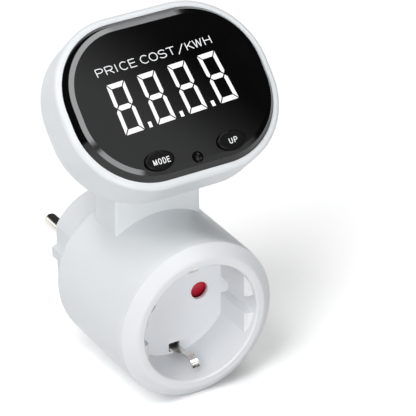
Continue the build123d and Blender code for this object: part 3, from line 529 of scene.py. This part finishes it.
def strokeMesh(lines, width, low, high):    # pen strokes as thin closed ribbons
    points = []
    faces = []
    for line in lines:
        left, right = ribbon(line, width)
        base = len(points)
        count = len(line)
        for x, y in left + right:
            points += [(x, y, low), (x, y, high)]
        for i in range(count - 1):
            a, b = base + 2 * i, base + 2 * (i + 1)
            c, d = a + 2 * count, b + 2 * count
            faces += [(a + 1, c + 1, d + 1, b + 1), (a, b, d, c), (a, a + 1, b + 1, b), (c, d, d + 1, c + 1)]
        last = base + 2 * (count - 1)
        faces += [(base, base + 2 * count, base + 2 * count + 1, base + 1),
                  (last, last + 1, last + 2 * count + 1, last + 2 * count)]
    return points, faces


def letterLines(look):                  # the words' pen strokes, in metres from the first letter's foot
    lines = []
    start = look["letters"][0][1]
    half = look["stroke"] / 2
    tall = look["cap"] - look["stroke"]
    slide = math.tan(math.radians(look["lean"]))
    for sign, first, last in look["letters"]:
        wide = max(last - first - look["stroke"], 0.0)
        for line in glyphs[sign]:
            placed = []
            for across, up in line:
                y = half + up * tall
                x = first - start + half + across * wide - (y - look["cap"] / 2) * slide
                placed.append((x * mm, y * mm))
            lines.append(placed)
    return lines


def letterPiece(name, look):
    top = head[look["level"]] + digits["rise"]
    points, faces = strokeMesh(letterLines(look), look["stroke"] * mm, top - digits["thickness"], top)
    foot = Vector((look["foot"][0] * mm, look["foot"][1] * mm, 0.0))
    place = headPlace @ Matrix.Translation(foot) @ turned(math.radians(look["turn"]))
    made = meshPiece(name, points, faces, materials[look["material"]], place)
    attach(made, look["body"])


for name, look in lettering.items():
    letterPiece(name, look)
print("lettering made:", len(lettering))


floorLook = {
    "size": 8.0,
    "colour": 0.60,                     # what lights the object
    "shown": 1.48,                      # what the camera and mirrors see
    "near": 0.3,                        # this far from the object the floor begins to turn plain white,
    "far": 0.8,                         # and this far from it the turn is complete
}


def floorMaterial(name, look):          # brighter to the camera and in mirrors than as a reflector
    made, shader = newMaterial(name)
    camera = shader.node("ShaderNodeLightPath", out="Is Camera Ray")
    path = camera.socket.node
    glossy = Value(shader, path.outputs["Is Glossy Ray"])
    through = Value(shader, path.outputs["Is Transmission Ray"])
    shown = (camera + glossy + through).clamp()
    level = shown * (look["shown"] - look["colour"]) + look["colour"]
    colour = shader.node("ShaderNodeCombineXYZ", {}, {"X": level, "Y": level, "Z": level})
    reach = shader.node("ShaderNodeVectorMath", {"operation": "LENGTH"}, {0: shader.place()}, out="Value")
    share = shown * ((reach - look["near"]) / (look["far"] - look["near"])).clamp()
    matt = shader.node("ShaderNodeBsdfDiffuse", {}, {"Color": colour})
    plain = shader.node("ShaderNodeEmission", {}, {"Color": plainWhite, "Strength": 1.0})
    surface = shader.node("ShaderNodeMixShader", {}, {0: share, 1: matt, 2: plain})
    shader.node("ShaderNodeOutputMaterial", {}, {"Surface": surface})
    return made


def rectangle(width, height, level=0.0):
    halfW = width / 2
    halfH = height / 2
    return [(-halfW, -halfH, level), (halfW, -halfH, level), (halfW, halfH, level), (-halfW, halfH, level)]


def makeFloor(look):
    points = rectangle(look["size"], look["size"], -barrelRadius)
    material = floorMaterial("floorWhite", look)
    meshPiece("floor", points, [(0, 1, 2, 3)], material, Matrix.Identity(4))


def softboxMaterial(name, look):        # even in the middle, fading towards each edge
    made, shader = newMaterial(name)
    across = shader.node("ShaderNodeUVMap")
    split = shader.node("ShaderNodeSeparateXYZ", {}, {"Vector": across}, out="X")
    other = Value(shader, split.socket.node.outputs["Y"])
    level = look["light"]
    for axis, (low, high) in ((split, look["fadeX"]), (other, look["fadeY"])):
        if low > 0:
            level = level * (axis / low).clamp() ** 2.0
        if high > 0:
            level = level * ((1.0 - axis) / high).clamp() ** 2.0
    glow = shader.node("ShaderNodeEmission", {}, {"Color": look["colour"] + (1.0,), "Strength": level})
    shader.node("ShaderNodeOutputMaterial", {}, {"Surface": glow})
    return made


# Lamps light the object, and those that are mirrored show in its gloss as well. Cards light nothing and
# show in the gloss alone. "from" is a direction from the head, "spot" a place over its face.
lamp = {"distance": 1.5, "width": 0.6, "height": 0.6, "fadeX": (0.0, 0.0), "fadeY": (0.0, 0.0),
        "colour": (1.0, 1.0, 1.0), "lights": True, "mirrored": False}
seenLamp = {**lamp, "mirrored": True}
card = {"roll": 0.0, "fadeX": (0.1, 0.1), "fadeY": (0.1, 0.1), "colour": (0.97, 0.985, 1.0), "lights": False,
        "mirrored": True}
softboxes = {
    "keyLamp": {**seenLamp, "from": (-0.407, -0.235, 0.883), "light": 6.0},
    "leftLamp": {**lamp, "from": (-0.709, -0.410, 0.574), "light": 4.6},
    "lowLeftLamp": {**seenLamp, "from": (-0.754, -0.633, 0.174), "light": 1.15},
    "frontLamp": {**seenLamp, "from": (-0.171, -0.970, 0.174), "light": 7.25},
    "lowRightLamp": {**lamp, "from": (0.337, -0.925, 0.174), "light": 0.95},
    "backLeftLamp": {**lamp, "from": (-0.527, 0.628, 0.574), "light": 4.1},
    "lowBackLamp": {**seenLamp, "from": (-0.492, 0.853, 0.174), "light": 1.55},
    "topBackLamp": {**seenLamp, "from": (0.235, 0.407, 0.883), "light": 3.9},
    "topRightLamp": {**lamp, "from": (0.407, -0.235, 0.883), "light": 1.55},
    "keyCard": {**card, "spot": (0.14, 0.345, 1.06), "width": 0.36, "height": 0.57, "light": 8.6,
                "fadeY": (0.1, 0.0)},
    "topCard": {**card, "spot": (0.44, 0.67, 1.07), "width": 0.62, "height": 0.36, "light": 9.0},
    "lowCard": {**card, "spot": (0.17, -0.10, 1.08), "width": 0.34, "height": 0.32, "light": 7.4},
    "veilCard": {**card, "spot": (0.402, 0.038, 1.10), "width": 0.60, "height": 1.00, "light": 0.96,
                 "roll": 37.9, "fadeX": (0.1, 0.11)},
}


def makeSoftbox(name, look):
    if "spot" in look:
        place = headPlace @ Matrix.Translation(look["spot"]) @ turned(math.radians(look["roll"]))
    else:
        towards = Vector(look["from"]).normalized()
        turn = (-towards).to_track_quat("-Z", "Y").to_matrix().to_4x4()
        place = Matrix.Translation(head["centre"] + towards * look["distance"]) @ turn
    points = rectangle(look["width"], look["height"])
    made = meshPiece(name, points, [(0, 1, 2, 3)], softboxMaterial(name, look), place)
    layer = made.data.uv_layers.new(name="across")
    for corner, spot in zip(layer.data, ((0, 0), (1, 0), (1, 1), (0, 1))):
        corner.uv = spot
    made.visible_camera = False
    made.visible_diffuse = look["lights"]
    made.visible_glossy = look["mirrored"]


room = {
    "strength": 0.03,                   # nearly dark, so that the window mirrors black
    "shown": 1.0,                       # what the camera sees beyond the floor
}


def makeWorld(look):
    world = bpy.data.worlds.new("studio")
    bpy.context.scene.world = world
    world.use_nodes = True
    shader = Shader(world.node_tree)
    camera = shader.node("ShaderNodeLightPath", out="Is Camera Ray")
    strength = camera * (look["shown"] - look["strength"]) + look["strength"]
    sky = shader.node("ShaderNodeBackground", {}, {"Color": plainWhite, "Strength": strength})
    shader.node("ShaderNodeOutputWorld", {}, {"Surface": sky})


view = {
    "azimuth": math.radians(-30.49),    # from the front, to the object's left
    "elevation": math.radians(29.61),
    "roll": math.radians(-0.35),
    "distance": 0.9,
    "right": 1.91 * mm,                 # the lens axis passes this far beside the outlet's front centre
    "up": 35.87 * mm,                   # and this far over it
    "lens": 251.65,
    "sensor": 36.0,
    "nearest": 0.05,                    # nothing nearer or farther than this is drawn
    "farthest": 50.0,
}


def makeCamera(look):
    az = look["azimuth"]
    el = look["elevation"]
    back = Vector((math.sin(az) * math.cos(el), -math.cos(az) * math.cos(el), math.sin(el)))
    level = Vector((0, 0, 1)).cross(back).normalized()
    steep = back.cross(level)
    right = math.cos(look["roll"]) * level + math.sin(look["roll"]) * steep
    up = -math.sin(look["roll"]) * level + math.cos(look["roll"]) * steep
    place = Vector((0, frontY, 0)) + back * look["distance"] + right * look["right"] + up * look["up"]
    data = bpy.data.cameras.new("camera")
    data.lens = look["lens"]
    data.sensor_width = look["sensor"]
    data.clip_start = look["nearest"]
    data.clip_end = look["farthest"]
    camera = bpy.data.objects.new("camera", data)
    bpy.context.scene.collection.objects.link(camera)
    camera.matrix_world = Matrix.Translation(place) @ Matrix((right, up, back)).transposed().to_4x4()
    bpy.context.scene.camera = camera


makeFloor(floorLook)
for name, look in softboxes.items():
    makeSoftbox(name, look)
makeWorld(room)
makeCamera(view)
bpy.context.scene.view_settings.view_transform = "Standard"
print("stage made:", len(softboxes), "softboxes")
